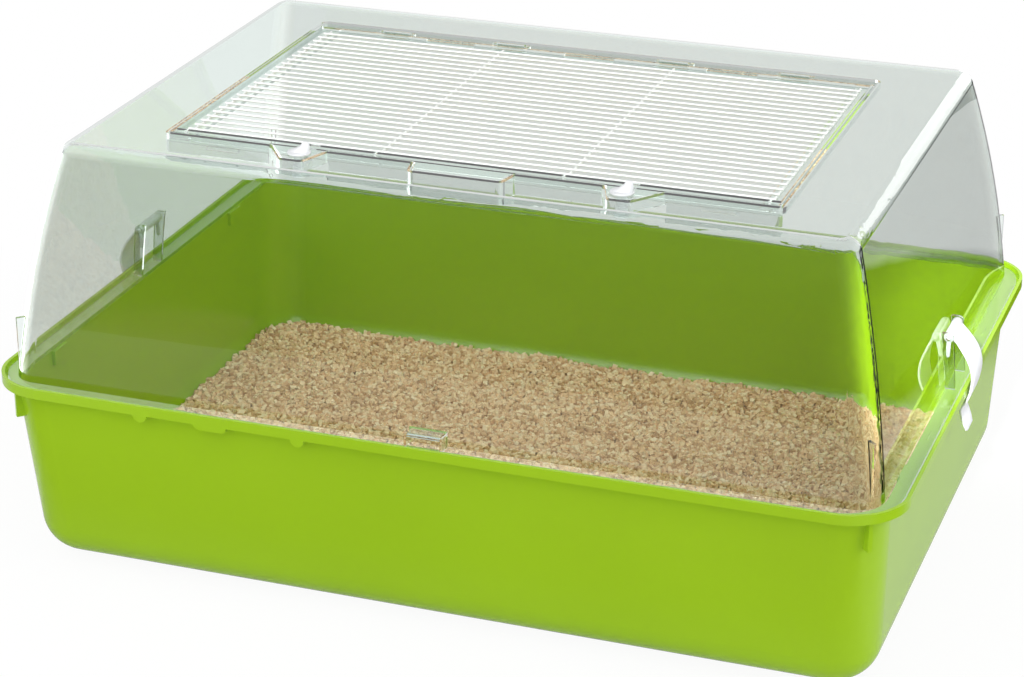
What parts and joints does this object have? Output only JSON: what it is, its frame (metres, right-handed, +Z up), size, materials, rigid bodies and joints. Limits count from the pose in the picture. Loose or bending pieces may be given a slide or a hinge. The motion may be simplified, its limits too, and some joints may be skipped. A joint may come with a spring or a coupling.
{
  "type": "small animal cage",
  "caption": "Small animal cage with a deep plastic tray, a clear lift-off hood held by side clips, and a wire-filled top door with turning latches.",
  "frame": {"origin": "centre of the base, at the underside of the tray's foot ring", "axes": "+X along the cage's length to its right, -Y to the front, +Z up"},
  "size_m": [0.5592, 0.4012, 0.2717],
  "materials": {
    "tray_plastic": "glossy opaque yellow-green plastic",
    "bedding": "loose pale wood granulate",
    "clear_plastic": "glossy clear moulded plastic",
    "coated_wire": "white coated steel wire",
    "white_plastic": "satin white plastic"
  },
  "bodies": {
    "tray": {"tray": "tray_plastic", "bedding_layer": "bedding"},
    "hood": {"hood": "clear_plastic"},
    "door": {"door_frame": "clear_plastic", "wire_grille": "coated_wire"},
    "latch_left": {"latch_knob_left": "white_plastic", "latch_cam_left": "white_plastic"},
    "latch_right": {"latch_knob_right": "white_plastic", "latch_cam_right": "white_plastic"},
    "clip_left": {"side_clip_left": "white_plastic"},
    "clip_right": {"side_clip_right": "white_plastic"}
  },
  "joints": [
    {"name": "hood_lift", "type": "slide", "parent": "tray", "child": "hood", "axis": [0, 0, 1], "range_m": [0, 0.2]},
    {"name": "door_hinge", "type": "hinge", "parent": "hood", "child": "door", "pos_m": [0, 0.1142, 0.2612], "axis": [-1, 0, 0], "range_deg": [0, 105]},
    {"name": "latch_left_turn", "type": "hinge", "parent": "door", "child": "latch_left", "pos_m": [-0.097, -0.1274, 0.2645], "axis": [0, 0, 1], "range_deg": [-90, 0]},
    {"name": "latch_right_turn", "type": "hinge", "parent": "door", "child": "latch_right", "pos_m": [0.097, -0.1274, 0.2645], "axis": [0, 0, 1], "range_deg": [0, 90]},
    {"name": "clip_left_swing", "type": "hinge", "parent": "hood", "child": "clip_left", "pos_m": [-0.26248, 0, 0.1555], "axis": [0, 1, 0], "range_deg": [0, 100]},
    {"name": "clip_right_swing", "type": "hinge", "parent": "hood", "child": "clip_right", "pos_m": [0.26248, 0, 0.1555], "axis": [0, -1, 0], "range_deg": [0, 100]}
  ]
}
